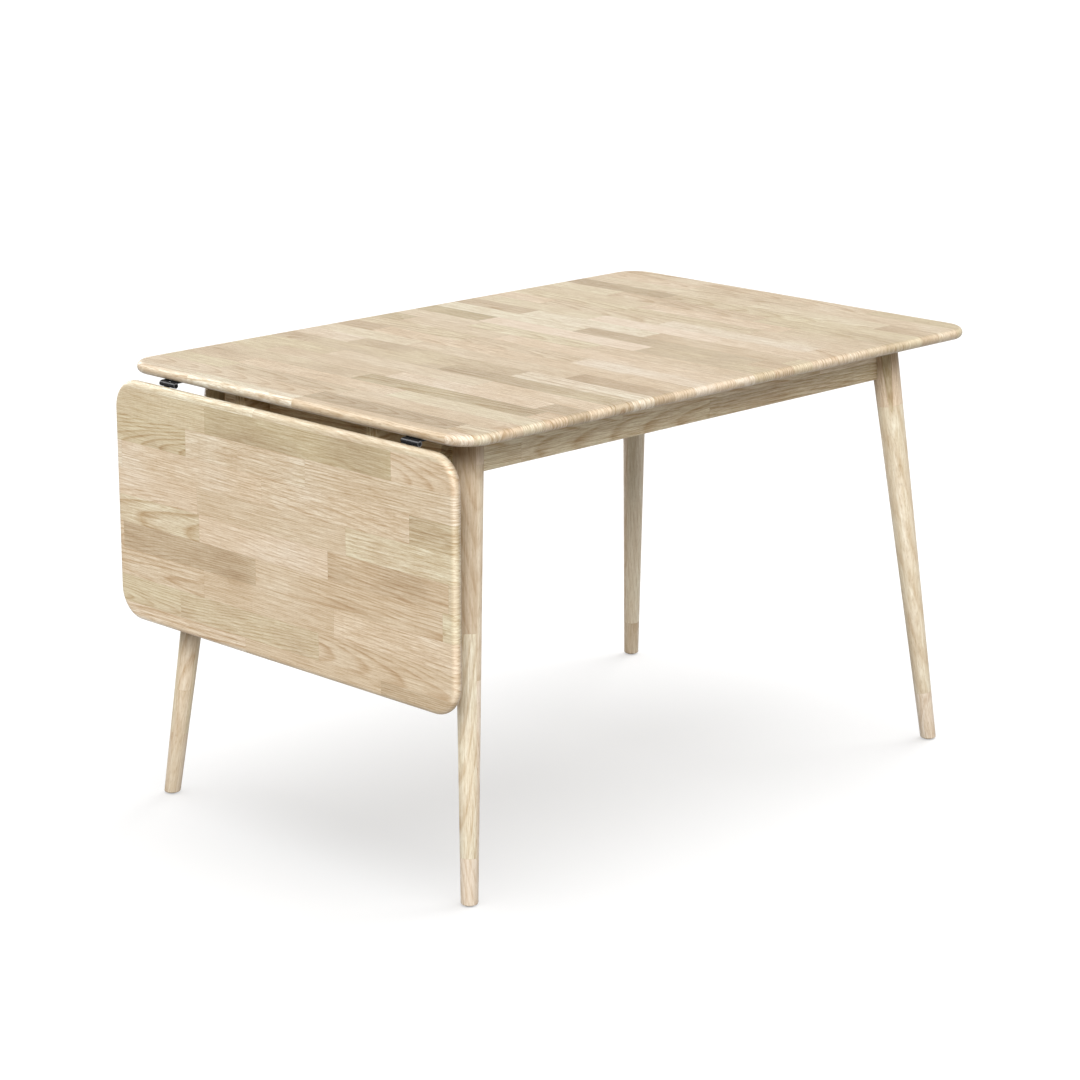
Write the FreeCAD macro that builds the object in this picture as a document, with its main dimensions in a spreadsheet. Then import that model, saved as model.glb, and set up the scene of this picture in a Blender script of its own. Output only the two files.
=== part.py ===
import FreeCAD, Part
import os
import Sketcher
from FreeCAD import Placement, Rotation, Vector

# Drop-leaf dining table, in millimetres. X runs along the table with the leaf at its low end, Y runs across
# and Z up. The origin is on the floor, under the middle of the table with its leaf hanging.

SIZES = {
    # Top and leaf boards
    "top_length": 1200,
    "top_width": 800,
    "table_height": 740,
    "board_thickness": 18,
    "corner_radius": 50,
    "edge_flat": 0.2,
    "leaf_length": 400,
    # Hinge line: the slit between the boards with the leaf up, and the pivot's depth below their underside
    "hinge_slit": 2,
    "hinge_drop": 5,
    # Legs: inset of the axis at the top, its outward run from top to floor, and the radii at both ends
    "leg_inset": 111,
    "leg_splay": 72,
    "leg_top_radius": 24,
    "leg_foot_radius": 13.5,
    "leg_overrun": 8,
    "foot_round": 2.5,
    "glide_radius": 8,
    "glide_thickness": 2,
    "nail_radius": 1.5,
    "nail_length": 14,
    # Aprons: outer faces lie outside the leg axes by the offset, and the long ones stop short of the axes
    "apron_height": 72,
    "apron_thickness": 22,
    "apron_offset": 5,
    "apron_setback": 5,
    "joint_gap": 0.1,
    "eased_edge": 1.5,
    # Guide board, bearers and the rail behind them
    "guide_thickness": 18,
    "guide_setback": 35,
    "bearer_from_leg": 134,
    "bearer_width": 24,
    "bearer_height": 44,
    "bearer_inset": 37,
    "bearer_length": 443,
    "rail_thickness": 22,
    # Flat support slides in the bearers
    "slide_width": 18,
    "slide_thickness": 5,
    "slide_length": 420,
    "slide_inset": 25,
    "slide_travel": 250,
    "slide_gap": 0.3,
    "slide_top_gap": 0.6,
    "slide_nose": 6,
    "pull_hole_radius": 3,
    "pull_hole_inset": 6,
    "stop_pin_radius": 2.5,
    "stop_pin_length": 15,
    "stop_pin_inset": 12,
    "stop_gap": 0.5,
    # Hinges
    "hinge_inset": 115,
    "hinge_width": 37,
    "hinge_thickness": 2,
    "hinge_flange": 36,
    "hinge_root": 5.6,
    "knuckle_radius": 4.5,
    "knuckle_gap": 0.4,
    "pin_radius": 2,
    "pin_fit": 0.05,
    "pin_overhang": 1,
    "hinge_screw_first": 9,
    "hinge_screw_step": 17,
    "hinge_screw_spread": 22,
    # Corner blocks, and the bolts that pull the legs against the aprons
    "block_side": 50,
    "block_tip": 8,
    "block_height": 40,
    "block_screw_inset": 38,
    "bolt_drop": 34,
    "bolt_radius": 4,
    "bolt_past_axis": 8,
    "bolt_tail": 4,
    "bolt_room": 0.3,
    "washer_radius": 9,
    "washer_thickness": 1.6,
    "nut_radius": 7.5,
    "nut_thickness": 6.5,
    # Brackets that hold the top down
    "bracket_width": 20,
    "bracket_flange": 25,
    "bracket_thickness": 2.5,
    "bracket_screw_inset": 16,
    # Screws and dowels
    "screw_radius": 1.75,
    "screw_head_radius": 3.5,
    "screw_head_depth": 1.75,
    "screw_room": 0.1,
    "hinge_screw_length": 13,
    "bracket_screw_length": 15,
    "block_screw_length": 24,
    "bearer_screw_length": 60,
    "guide_screw_length": 35,
    "guide_screw_offset": 45,
    "guide_screw_drop": 40,
    "dowel_radius": 4,
    "dowel_length": 30,
    "dowel_in_apron": 10,
    "dowel_spacing": 20,
}

ENDS = {"leaf": -1, "far": 1}
SIDES = {"front": -1, "rear": 1}
CORNERS = {f"{end}_{side}": (ENDS[end], SIDES[side]) for end in ENDS for side in SIDES}

# Places worked out from the sheet
middle_x = "((size.hinge_slit / 2 + size.hinge_drop + size.board_thickness) / 2)"
under_z = "(size.table_height - size.board_thickness)"
apron_low_z = f"({under_z} - size.apron_height)"
top_end_x = f"({middle_x} - size.top_length / 2)"
pivot_x = f"({top_end_x} - size.hinge_slit / 2)"
pivot_z = f"({under_z} - size.hinge_drop)"
leg_reach_x = "(size.top_length / 2 - size.leg_inset)"
leg_reach_y = "(size.top_width / 2 - size.leg_inset)"
apron_inner_x = f"({leg_reach_x} + size.apron_offset - size.apron_thickness)"
apron_inner_y = f"({leg_reach_y} + size.apron_offset - size.apron_thickness)"
end_face_x = f"({middle_x} - {leg_reach_x} - size.apron_offset)"
bearer_front_x = f"({top_end_x} + size.bearer_inset)"
bearer_low_z = f"({under_z} - size.bearer_height)"
bearer_mid_z = f"({under_z} - size.bearer_height / 2)"
rail_x = f"({bearer_front_x} + size.bearer_length)"
slide_front_x = f"({top_end_x} + size.slide_inset)"
slide_low_z = f"({under_z} - size.slide_top_gap - size.slide_thickness)"
stop_pin_x = f"({slide_front_x} + size.slide_length - size.stop_pin_inset)"
stop_pin_low_z = f"({slide_low_z} + size.slide_thickness - size.stop_pin_length)"
bolt_z = f"({under_z} - size.bolt_drop)"

TURNS = {
    "x": Rotation(Vector(0, 0, 1), Vector(1, 0, 0)),
    "-x": Rotation(Vector(0, 0, 1), Vector(-1, 0, 0)),
    "y": Rotation(Vector(0, 0, 1), Vector(0, 1, 0)),
    "-y": Rotation(Vector(0, 0, 1), Vector(0, -1, 0)),
    "z": Rotation(),
}

doc = FreeCAD.newDocument("drop_leaf_table")
sheet = doc.addObject("Spreadsheet::Sheet", "size")
for row, (alias, value) in enumerate(SIZES.items(), start=1):
    sheet.set(f"A{row}", alias)
    sheet.set(f"B{row}", str(value))
    sheet.setAlias(f"B{row}", alias)
doc.recompute()

# Node name of each finished sub-part, with its object and how many solids it holds
sub_parts = {}


# Objects tied to the sheet


def tie(thing, **expressions):
    for name, expression in expressions.items():
        thing.setExpression(name, expression)
    return thing


def place(thing, x, y, z, turn=Rotation()):
    thing.Placement = Placement(Vector(), turn)
    for letter, expression in (("x", x), ("y", y), ("z", z)):
        thing.setExpression(f"Placement.Base.{letter}", expression)
    return thing


def new(kind, label):
    thing = doc.addObject(kind, label.replace(" ", "_"))
    thing.Label = label
    return thing


def block(label, low, span):
    box = tie(new("Part::Box", label), Length=span[0], Width=span[1], Height=span[2])
    return place(box, *low)


def rod(label, start, turn, radius, length):
    return place(tie(new("Part::Cylinder", label), Radius=radius, Height=length), *start, turn)


def fuse(label, pieces):
    whole = new("Part::MultiFuse", label)
    whole.Shapes = pieces
    return whole


def group(label, pieces):
    together = new("Part::Compound", label)
    together.Links = pieces
    return together


def cut(label, base, tools):
    remainder = new("Part::Cut", label)
    remainder.Base = base
    remainder.Tool = tools[0] if len(tools) == 1 else group(f"{label} tools", tools)
    return remainder


def sub_part(thing, solids=1):
    sub_parts[thing.Label] = (thing, solids)
    return thing


def origin_plane(body, role):
    return next(plane for plane in body.Origin.OriginFeatures if plane.Role == role)


def slab(body, length, width, thickness):
    """A rectangular pad on the body's XY plane, centred on its origin."""
    sketch = body.newObject("Sketcher::SketchObject", f"{body.Name}_outline")
    sketch.AttachmentSupport = [(origin_plane(body, "XY_Plane"), "")]
    sketch.MapMode = "FlatFace"
    corners = [Vector(-1, -1, 0), Vector(1, -1, 0), Vector(1, 1, 0), Vector(-1, 1, 0)]
    for start, end in zip(corners, corners[1:] + corners[:1]):
        sketch.addGeometry(Part.LineSegment(start, end))
    for side in range(4):
        sketch.addConstraint(Sketcher.Constraint("Coincident", side, 2, (side + 1) % 4, 1))
        sketch.addConstraint(Sketcher.Constraint("Vertical" if side % 2 else "Horizontal", side))
    sketch.addConstraint(Sketcher.Constraint("Symmetric", 0, 1, 1, 2, -1, 1))
    for name, kind, side, expression in (("long", "DistanceX", 0, length), ("wide", "DistanceY", 1, width)):
        number = sketch.addConstraint(Sketcher.Constraint(kind, side, 1, side, 2, 2))
        sketch.renameConstraint(number, name)
        sketch.setExpression(f"Constraints.{name}", expression)
    pad = body.newObject("PartDesign::Pad", f"{body.Name}_pad")
    pad.Profile = sketch
    tie(pad, Length=thickness)
    doc.recompute()
    return pad


def dress(body, kind, base, names, **expressions):
    """A fillet or chamfer on named edges or faces of the feature before it."""
    feature = body.newObject(f"PartDesign::{kind}", f"{body.Name}_{kind.lower()}")
    feature.Base = (base, names)
    tie(feature, **expressions)
    doc.recompute()
    return feature


def upright_edges(shape, wanted):
    """Names of the edges along Z whose middle is wanted."""
    names = []
    for number, edge in enumerate(shape.Edges, start=1):
        box = edge.BoundBox
        if max(box.XLength, box.YLength) < box.ZLength / 100 and wanted(box.Center):
            names.append(f"Edge{number}")
    return names


def flat_faces(shape):
    """Names of the level faces."""
    limit = shape.BoundBox.ZLength / 100
    faces = enumerate(shape.Faces, start=1)
    return [f"Face{number}" for number, face in faces if face.BoundBox.ZLength < limit]


def ease(label, base, radius, wanted):
    """The blank with a round of one radius on the edges whose box is wanted."""
    doc.recompute()
    edges = enumerate(base.Shape.Edges, start=1)
    rounded = new("Part::Fillet", label)
    rounded.Base = base
    rounded.Edges = [(number, radius, radius) for number, edge in edges if wanted(edge.BoundBox)]
    return rounded


def is_long_low(base, axis):
    """A test for the lower edges that run along one axis of a block."""

    def wanted(box):
        is_low = box.ZMax < base.Placement.Base.z + sheet.eased_edge
        is_long = {"X": box.XLength, "Y": box.YLength}[axis] > sheet.eased_edge
        return is_low and is_long

    return wanted


def is_front(base):
    """A test for the edges around a block's end at its lowest X."""

    def wanted(box):
        return box.XMax < base.Placement.Base.x + sheet.eased_edge

    return wanted


def round_board(label, length, width):
    """A board with rounded corners and a full round edge, its underside on the body's XY plane."""
    body = new("PartDesign::Body", label)
    pad = slab(body, length, width, "size.board_thickness")
    every_corner = upright_edges(pad.Shape, lambda middle: True)
    rounded = dress(body, "Fillet", pad, every_corner, Radius="size.corner_radius")
    edge_radius = "(size.board_thickness - size.edge_flat) / 2"
    dress(body, "Fillet", rounded, flat_faces(rounded.Shape), Radius=edge_radius)
    return body


# Screws and their holes


def screw(label, head, axis, length, room="0"):
    """A countersunk screw from the middle of its head, or its hole when room is left round it."""
    cone = tie(
        new("Part::Cone", f"{label} head"),
        Radius1=f"size.screw_head_radius + {room}",
        Radius2=f"size.screw_radius + {room}",
        Height="size.screw_head_depth",
    )
    place(cone, *head, TURNS[axis])
    shank = rod(f"{label} shank", head, TURNS[axis], f"size.screw_radius + {room}", f"{length} + {room}")
    return fuse(label, [cone, shank])


def screws(node, heads, length):
    """One node of like screws, each given by its head and the way it points. Returns their holes."""
    made = [screw(f"{node} {n}", head, axis, length) for n, (head, axis) in enumerate(heads)]
    sub_part(group(node, made), len(made))
    return [
        screw(f"{node} hole {n}", head, axis, length, "size.screw_room")
        for n, (head, axis) in enumerate(heads)
    ]


def pointing(axis, sign):
    return axis if sign > 0 else f"-{axis}"


# Top and leaf hinges: each half has its flange on a board and knuckles on the pivot line


def hinge_y(side):
    return f"({SIDES[side]} * (size.top_width / 2 - size.hinge_inset))"


knuckle_length = "((size.hinge_width - 2 * size.knuckle_gap) / 3)"
leaf_under_x = f"({pivot_x} - size.hinge_drop)"

hinge_grid = [
    (
        f"(size.hinge_root + size.hinge_screw_first + {row} * size.hinge_screw_step)",
        f"({hinge_y(side)} + {column} * size.hinge_screw_spread / 2)",
    )
    for side in SIDES
    for row in (0, 1)
    for column in (-1, 1)
]
hinge_top_holes = screws(
    "hinge_top_screws",
    [((f"{pivot_x} + {reach}", y, f"{under_z} - size.hinge_thickness"), "z") for reach, y in hinge_grid],
    "size.hinge_screw_length",
)
leaf_plate_x = f"({leaf_under_x} + size.hinge_thickness)"
hinge_leaf_holes = screws(
    "hinge_leaf_screws",
    [((leaf_plate_x, y, f"{pivot_z} - {reach}"), "-x") for reach, y in hinge_grid],
    "size.hinge_screw_length",
)


def knuckle_y(side, number):
    low = f"({hinge_y(side)} - size.hinge_width / 2)"
    return f"({low} + {number} * ({knuckle_length} + size.knuckle_gap))"


def pin_hole(side):
    start = (pivot_x, knuckle_y(side, 0), pivot_z)
    return rod(f"pin hole {side}", start, TURNS["y"], "size.pin_radius + size.pin_fit", "size.hinge_width")


def knuckle(label, side, number):
    start = (pivot_x, knuckle_y(side, number), pivot_z)
    return rod(label, start, TURNS["y"], "size.knuckle_radius", knuckle_length)


def hinge_top_plate(side):
    flange_z = f"{under_z} - size.hinge_thickness"
    flange = block(
        f"top flange {side}",
        (f"{pivot_x} + size.hinge_root", knuckle_y(side, 0), flange_z),
        ("size.hinge_flange", "size.hinge_width", "size.hinge_thickness"),
    )
    pieces = [flange]
    for number in (0, 2):
        root = block(
            f"top root {side} {number}",
            (pivot_x, knuckle_y(side, number), flange_z),
            ("size.hinge_root + size.hinge_thickness", knuckle_length, "size.hinge_thickness"),
        )
        pieces += [root, knuckle(f"top knuckle {side} {number}", side, number)]
    solid = fuse(f"top plate solid {side}", pieces)
    sub_part(cut(f"hinge_top_plate_{side}", solid, [pin_hole(side)] + hinge_top_holes))


def hinge_leaf_plate(side):
    flange = block(
        f"leaf flange {side}",
        (leaf_under_x, knuckle_y(side, 0), f"{pivot_z} - size.hinge_root - size.hinge_flange"),
        ("size.hinge_thickness", "size.hinge_width", "size.hinge_flange"),
    )
    root_height = "(size.hinge_root + size.hinge_thickness)"
    root = block(
        f"leaf root {side}",
        (leaf_under_x, knuckle_y(side, 1), f"{pivot_z} - {root_height}"),
        ("size.hinge_thickness", knuckle_length, root_height),
    )
    solid = fuse(f"leaf plate solid {side}", [flange, root, knuckle(f"leaf knuckle {side}", side, 1)])
    sub_part(cut(f"hinge_leaf_plate_{side}", solid, [pin_hole(side)] + hinge_leaf_holes))


def hinge_pin(side):
    start = (pivot_x, f"{knuckle_y(side, 0)} - size.pin_overhang", pivot_z)
    length = "size.hinge_width + 2 * size.pin_overhang"
    sub_part(rod(f"hinge_pin_{side}", start, TURNS["y"], "size.pin_radius", length))


for side in SIDES:
    hinge_top_plate(side)
    hinge_leaf_plate(side)
    hinge_pin(side)


# Angle brackets in the corner between top and aprons, each given by that corner and the way it faces

bay_middles = [
    f"({middle_x} - {apron_inner_x} + {rail_x}) / 2",
    f"({rail_x} + size.rail_thickness + {middle_x} + {apron_inner_x}) / 2",
]
bracket_places = [
    (bay_middle, f"{sign} * {apron_inner_y}", "y", -sign)
    for sign in SIDES.values()
    for bay_middle in bay_middles
]
bracket_places += [(f"{middle_x} + {sign} * {apron_inner_x}", "0", "x", -sign) for sign in ENDS.values()]


def away(x, y, axis, distance):
    """A point at a distance from x, y along one of the two axes."""
    return (f"{x} + {distance}", y) if axis == "x" else (x, f"{y} + {distance}")


def bracket(number, x, y, axis, way, holes):
    across = "y" if axis == "x" else "x"
    flanges = []
    for name, depth, height in (
        ("level", "size.bracket_flange", "size.bracket_thickness"),
        ("upright", "size.bracket_thickness", "size.bracket_flange"),
    ):
        low = away(*away(x, y, across, "-size.bracket_width / 2"), axis, f"{min(way, 0)} * {depth}")
        span = (depth, "size.bracket_width") if axis == "x" else ("size.bracket_width", depth)
        flanges.append(block(f"bracket {number} {name}", (*low, f"{under_z} - {height}"), (*span, height)))
    return cut(f"bracket {number}", fuse(f"bracket {number} solid", flanges), holes)


def bracket_head(x, y, axis, way, out, down):
    """Where a screw's head lies, out from the corner and down from the top."""
    return (*away(x, y, axis, f"{way} * {out}"), f"{under_z} - {down}")


inset = "size.bracket_screw_inset"
flush = "size.bracket_thickness"
bracket_top_holes = screws(
    "bracket_top_screws",
    [(bracket_head(*corner, inset, flush), "z") for corner in bracket_places],
    "size.bracket_screw_length",
)
bracket_apron_holes = screws(
    "bracket_apron_screws",
    [(bracket_head(*corner, flush, inset), pointing(corner[2], -corner[3])) for corner in bracket_places],
    "size.bracket_screw_length",
)
brackets = [
    bracket(number, *corner, [bracket_top_holes[number], bracket_apron_holes[number]])
    for number, corner in enumerate(bracket_places)
]
sub_part(group("top_brackets", brackets), len(brackets))


# Top and leaf

top_board = round_board("top board", "size.top_length", "size.top_width")
place(top_board, middle_x, "0", under_z)
sub_part(cut("table_top", top_board, hinge_top_holes + bracket_top_holes))

leaf_board = round_board("leaf board", "size.leaf_length", "size.top_width")
leaf_middle_z = f"{pivot_z} - size.hinge_slit / 2 - size.leaf_length / 2"
place(leaf_board, leaf_under_x, "0", leaf_middle_z, Rotation(Vector(0, 1, 0), -90))
sub_part(cut("drop_leaf", leaf_board, hinge_leaf_holes))


# Legs: splayed cones cut level at both ends, with a glide under each foot

leg_lean = f"atan(size.leg_splay * sqrt(2) / {under_z})"
leg_run_on = f"(size.leg_overrun / {under_z})"
leg_run = f"(sqrt({under_z}^2 + 2 * size.leg_splay^2) * (1 + 2 * {leg_run_on}))"

leg_level = block(
    "level of the legs",
    ("-size.top_length", "-size.top_width", "size.glide_thickness"),
    ("2 * size.top_length", "2 * size.top_width", f"{under_z} - size.glide_thickness"),
)


def foot_at(end, side, run_on="0"):
    """Where a leg's axis meets the floor, or reaches below it when it runs on by a share of its height."""
    splay = f"size.leg_splay * (1 + {run_on})"
    return f"{middle_x} + {end} * ({leg_reach_x} + {splay})", f"{side} * ({leg_reach_y} + {splay})"


def leg_cone(label, end, side, room="0"):
    """A leg from below the floor to above the top's underside, so that level cuts leave its whole section."""
    taper = f"((size.leg_top_radius - size.leg_foot_radius) * {leg_run_on})"
    cone = tie(
        new("Part::Cone", label),
        Radius1=f"size.leg_foot_radius - {taper} + {room}",
        Radius2=f"size.leg_top_radius + {taper} + {room}",
        Height=leg_run,
    )
    place(cone, *foot_at(end, side, leg_run_on), "-size.leg_overrun", Rotation(Vector(side, -end, 0), 1))
    return tie(cone, **{"Placement.Rotation.Angle": leg_lean})


bolt_lean = f"(size.leg_splay * size.bolt_drop / {under_z})"


def bolt_point(end, side, distance):
    """A point on the diagonal bolt, at a distance inwards from the leg's axis."""
    step = f"({distance}) / sqrt(2)"
    x = f"{middle_x} + {end} * ({leg_reach_x} + {bolt_lean} - {step})"
    return x, f"{side} * ({leg_reach_y} + {bolt_lean} - {step})", bolt_z


def inwards(end, side):
    return Rotation(Vector(0, 0, 1), Vector(-end, -side, 0))


corner_depth = f"(({bolt_lean} + size.apron_thickness - size.apron_offset) * sqrt(2))"
block_face = f"({corner_depth} + (size.block_side + size.block_tip) / sqrt(2))"
bolt_end = f"({block_face} + size.washer_thickness + size.nut_thickness + size.bolt_tail)"
bolt_length = f"size.bolt_past_axis + {bolt_end}"


def bolt(label, end, side, room="0"):
    start = bolt_point(end, side, "-size.bolt_past_axis")
    return rod(label, start, inwards(end, side), f"size.bolt_radius + {room}", bolt_length)


def leg(corner, end, side):
    level = new("Part::Common", f"leg blank {corner}")
    level.Base = leg_cone(f"leg cone {corner}", end, side)
    level.Tool = leg_level
    foot_z = sheet.glide_thickness + sheet.foot_round
    rounded = ease(f"leg rounded {corner}", level, sheet.foot_round, lambda box: box.ZMax < foot_z)
    nail_hole = rod(
        f"nail hole {corner}",
        (*foot_at(end, side), "0"),
        TURNS["z"],
        "size.nail_radius + size.pin_fit",
        "size.glide_thickness + size.nail_length + size.screw_room",
    )
    bolt_hole = bolt(f"leg bolt hole {corner}", end, side, "size.pin_fit")
    sub_part(cut(f"leg_{corner}", rounded, [nail_hole, bolt_hole]))


def glide(corner, end, side):
    start = (*foot_at(end, side), "0")
    disc = rod(f"glide disc {corner}", start, TURNS["z"], "size.glide_radius", "size.glide_thickness")
    nail_height = "size.glide_thickness + size.nail_length"
    nail = rod(f"glide nail {corner}", start, TURNS["z"], "size.nail_radius", nail_height)
    return fuse(f"glide {corner}", [disc, nail])


def washer(corner, end, side):
    start = bolt_point(end, side, block_face)
    turn = inwards(end, side)
    disc = rod(f"washer disc {corner}", start, turn, "size.washer_radius", "size.washer_thickness")
    return cut(f"washer {corner}", disc, [bolt(f"washer hole {corner}", end, side, "size.bolt_room")])


def nut(corner, end, side):
    hexagon = new("Part::Prism", f"nut hexagon {corner}")
    hexagon.Polygon = 6
    tie(hexagon, Circumradius="size.nut_radius", Height="size.nut_thickness")
    place(hexagon, *bolt_point(end, side, f"{block_face} + size.washer_thickness"), inwards(end, side))
    return cut(f"nut {corner}", hexagon, [bolt(f"nut hole {corner}", end, side, "size.pin_fit")])


for corner, signs in CORNERS.items():
    leg(corner, *signs)
for node, make in (("foot_glides", glide), ("hanger_washers", washer), ("hanger_nuts", nut)):
    sub_part(group(node, [make(corner, *signs) for corner, signs in CORNERS.items()]), len(CORNERS))
hanger_bolts = [bolt(f"bolt {corner}", *signs) for corner, signs in CORNERS.items()]
sub_part(group("hanger_bolts", hanger_bolts), len(hanger_bolts))


# Corner blocks: cut across on the inside, with sunk screws into both aprons

QUARTER_TURNS = {"leaf_front": 0, "far_front": 90, "far_rear": 180, "leaf_rear": 270}


def block_corner(end, side):
    return f"{middle_x} + {end} * {apron_inner_x}", f"{side} * {apron_inner_y}"


def block_heads(end, side):
    x, y = block_corner(end, side)
    sunk = "size.block_tip"
    inset = "size.block_screw_inset"
    yield (f"{x} - {end} * {inset}", f"{y} - {side} * {sunk}", bolt_z), "y", side
    yield (f"{x} - {end} * {sunk}", f"{y} - {side} * {inset}", bolt_z), "x", end


all_block_heads = [head for signs in CORNERS.values() for head in block_heads(*signs)]
block_screw_holes = screws(
    "corner_block_screws",
    [(head, pointing(axis, sign)) for head, axis, sign in all_block_heads],
    "size.block_screw_length",
)
block_sinks = [
    rod(
        f"block sink {number}",
        head,
        TURNS[pointing(axis, -sign)],
        "size.screw_head_radius + size.screw_room",
        "size.block_side",
    )
    for number, (head, axis, sign) in enumerate(all_block_heads)
]


def corner_block(corner, end, side):
    body = new("PartDesign::Body", f"block body {corner}")
    pad = slab(body, "size.block_side", "size.block_side", "size.block_height")
    inner_edge = upright_edges(pad.Shape, lambda middle: middle.x > 0 and middle.y > 0)
    dress(body, "Chamfer", pad, inner_edge, Size="size.block_side - size.block_tip")
    x, y = block_corner(end, side)
    middle = (f"{x} - {end} * size.block_side / 2", f"{y} - {side} * size.block_side / 2")
    turn = Rotation(Vector(0, 0, 1), QUARTER_TURNS[corner])
    place(body, *middle, f"{bolt_z} - size.block_height / 2", turn)
    first = 2 * list(CORNERS).index(corner)
    tools = block_screw_holes[first : first + 2] + block_sinks[first : first + 2]
    bored = cut(f"block bored {corner}", body, [bolt(f"block hole {corner}", end, side, "size.bolt_room")])
    sub_part(cut(f"corner_block_{corner}", bored, tools))


for corner, signs in CORNERS.items():
    corner_block(corner, *signs)


# Aprons, coped round the legs, and the guide board and rail that carry the bearers

copes = [leg_cone(f"cope {corner}", *signs, "size.joint_gap") for corner, signs in CORNERS.items()]


def bearer_y(side):
    return f"({SIDES[side]} * ({leg_reach_y} - size.bearer_from_leg))"


notch_width = "(size.bearer_width + 2 * size.joint_gap)"
notches = [
    block(
        f"notch {side}",
        (bearer_front_x, f"{bearer_y(side)} - {notch_width} / 2", bearer_low_z),
        ("size.bearer_length", notch_width, "size.bearer_height"),
    )
    for side in SIDES
]

guide_head_x = f"{middle_x} - {apron_inner_x}"
guide_head_z = f"{under_z} - size.guide_screw_drop"
guide_screw_holes = screws(
    "guide_board_screws",
    [
        ((guide_head_x, f"{bearer_y(side)} + {step} * size.guide_screw_offset", guide_head_z), "-x")
        for side in SIDES
        for step in (-1, 1)
    ],
    "size.guide_screw_length",
)
bearer_screw_holes = screws(
    "bearer_screws",
    [((f"{rail_x} + size.rail_thickness", bearer_y(side), bearer_mid_z), "-x") for side in SIDES],
    "size.bearer_screw_length",
)


def dowels(label, room="0"):
    return [
        rod(
            f"{label} {side} {step}",
            (
                f"{rail_x} + size.rail_thickness / 2",
                f"{sign} * ({apron_inner_y} + size.dowel_in_apron + {room})",
                f"{bearer_mid_z} + {step} * size.dowel_spacing / 2",
            ),
            TURNS[pointing("y", -sign)],
            f"size.dowel_radius + {room}",
            f"size.dowel_length + 2 * {room}",
        )
        for side, sign in SIDES.items()
        for step in (-1, 1)
    ]


rail_dowels = dowels("dowel")
sub_part(group("rail_dowels", rail_dowels), len(rail_dowels))
dowel_holes = dowels("dowel hole", "size.screw_room")

bolt_holes = [
    bolt(f"apron bolt hole {corner}", *signs, "size.bolt_room") for corner, signs in CORNERS.items()
]
apron_holes = bracket_apron_holes + block_screw_holes + bolt_holes


def apron(node, blank, more_cuts):
    coped = cut(f"{node} coped", blank, copes)
    sub_part(cut(node, coped, apron_holes + more_cuts))


def long_apron(side):
    reach = f"({leg_reach_x} - size.apron_setback)"
    low_y = apron_inner_y if SIDES[side] > 0 else f"-{apron_inner_y} - size.apron_thickness"
    blank = block(
        f"long blank {side}",
        (f"{middle_x} - {reach}", low_y, apron_low_z),
        (f"2 * {reach}", "size.apron_thickness", "size.apron_height"),
    )
    eased = ease(f"long eased {side}", blank, sheet.eased_edge, is_long_low(blank, "X"))
    apron(f"long_apron_{side}", eased, dowel_holes)


def end_apron(end, more_cuts):
    reach = f"({apron_inner_y} - size.joint_gap)"
    low_x = f"{middle_x} + {apron_inner_x}" if ENDS[end] > 0 else end_face_x
    blank = block(
        f"end blank {end}",
        (low_x, f"-{reach}", apron_low_z),
        ("size.apron_thickness", f"2 * {reach}", "size.apron_height"),
    )
    eased = ease(f"end eased {end}", blank, sheet.eased_edge, is_long_low(blank, "Y"))
    apron(f"end_apron_{end}", eased, more_cuts)


for side in SIDES:
    long_apron(side)
end_apron("leaf", notches + guide_screw_holes)
end_apron("far", [])

guide_reach = f"({leg_reach_y} - size.guide_setback)"
guide_blank = block(
    "guide blank",
    (f"{end_face_x} - size.guide_thickness", f"-{guide_reach}", apron_low_z),
    ("size.guide_thickness", f"2 * {guide_reach}", "size.apron_height"),
)
guide_eased = ease("guide eased", guide_blank, sheet.eased_edge, is_long_low(guide_blank, "Y"))
sub_part(cut("slide_guide_board", guide_eased, notches + guide_screw_holes))

rail_reach = f"({apron_inner_y} - size.joint_gap)"
rail_blank = block(
    "rail blank",
    (rail_x, f"-{rail_reach}", bearer_low_z),
    ("size.rail_thickness", f"2 * {rail_reach}", "size.bearer_height"),
)
sub_part(cut("cross_rail", rail_blank, bearer_screw_holes + dowel_holes))


# Bearers with a groove for the slide and a slot for its stop pin


def bearer(side):
    middle_y = bearer_y(side)
    blank = block(
        f"bearer blank {side}",
        (bearer_front_x, f"{middle_y} - size.bearer_width / 2", bearer_low_z),
        ("size.bearer_length", "size.bearer_width", "size.bearer_height"),
    )
    floor_z = f"({slide_low_z} - size.slide_gap)"
    groove = block(
        f"groove {side}",
        (bearer_front_x, f"{middle_y} - size.slide_width / 2 - size.slide_gap", floor_z),
        ("size.bearer_length", "size.slide_width + 2 * size.slide_gap", f"{under_z} - {floor_z}"),
    )
    slot_half = "(size.stop_pin_radius + size.stop_gap)"
    slot_low_z = f"({stop_pin_low_z} - size.stop_gap)"
    slot = block(
        f"slot {side}",
        (f"{stop_pin_x} - size.slide_travel - {slot_half}", f"{middle_y} - {slot_half}", slot_low_z),
        (f"size.slide_travel + 2 * {slot_half}", f"2 * {slot_half}", f"{under_z} - {slot_low_z}"),
    )
    eased = ease(f"bearer eased {side}", blank, sheet.eased_edge, is_front(blank))
    grooved = cut(f"bearer grooved {side}", eased, [fuse(f"groove and slot {side}", [groove, slot])])
    sub_part(cut(f"slide_bearer_{side}", grooved, bearer_screw_holes))


# Support slides with a rounded nose, a pull hole and a pressed stop pin


def stop_pin(label, side, room="0"):
    start = (stop_pin_x, bearer_y(side), stop_pin_low_z)
    return rod(label, start, TURNS["z"], f"size.stop_pin_radius + {room}", "size.stop_pin_length")


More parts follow.
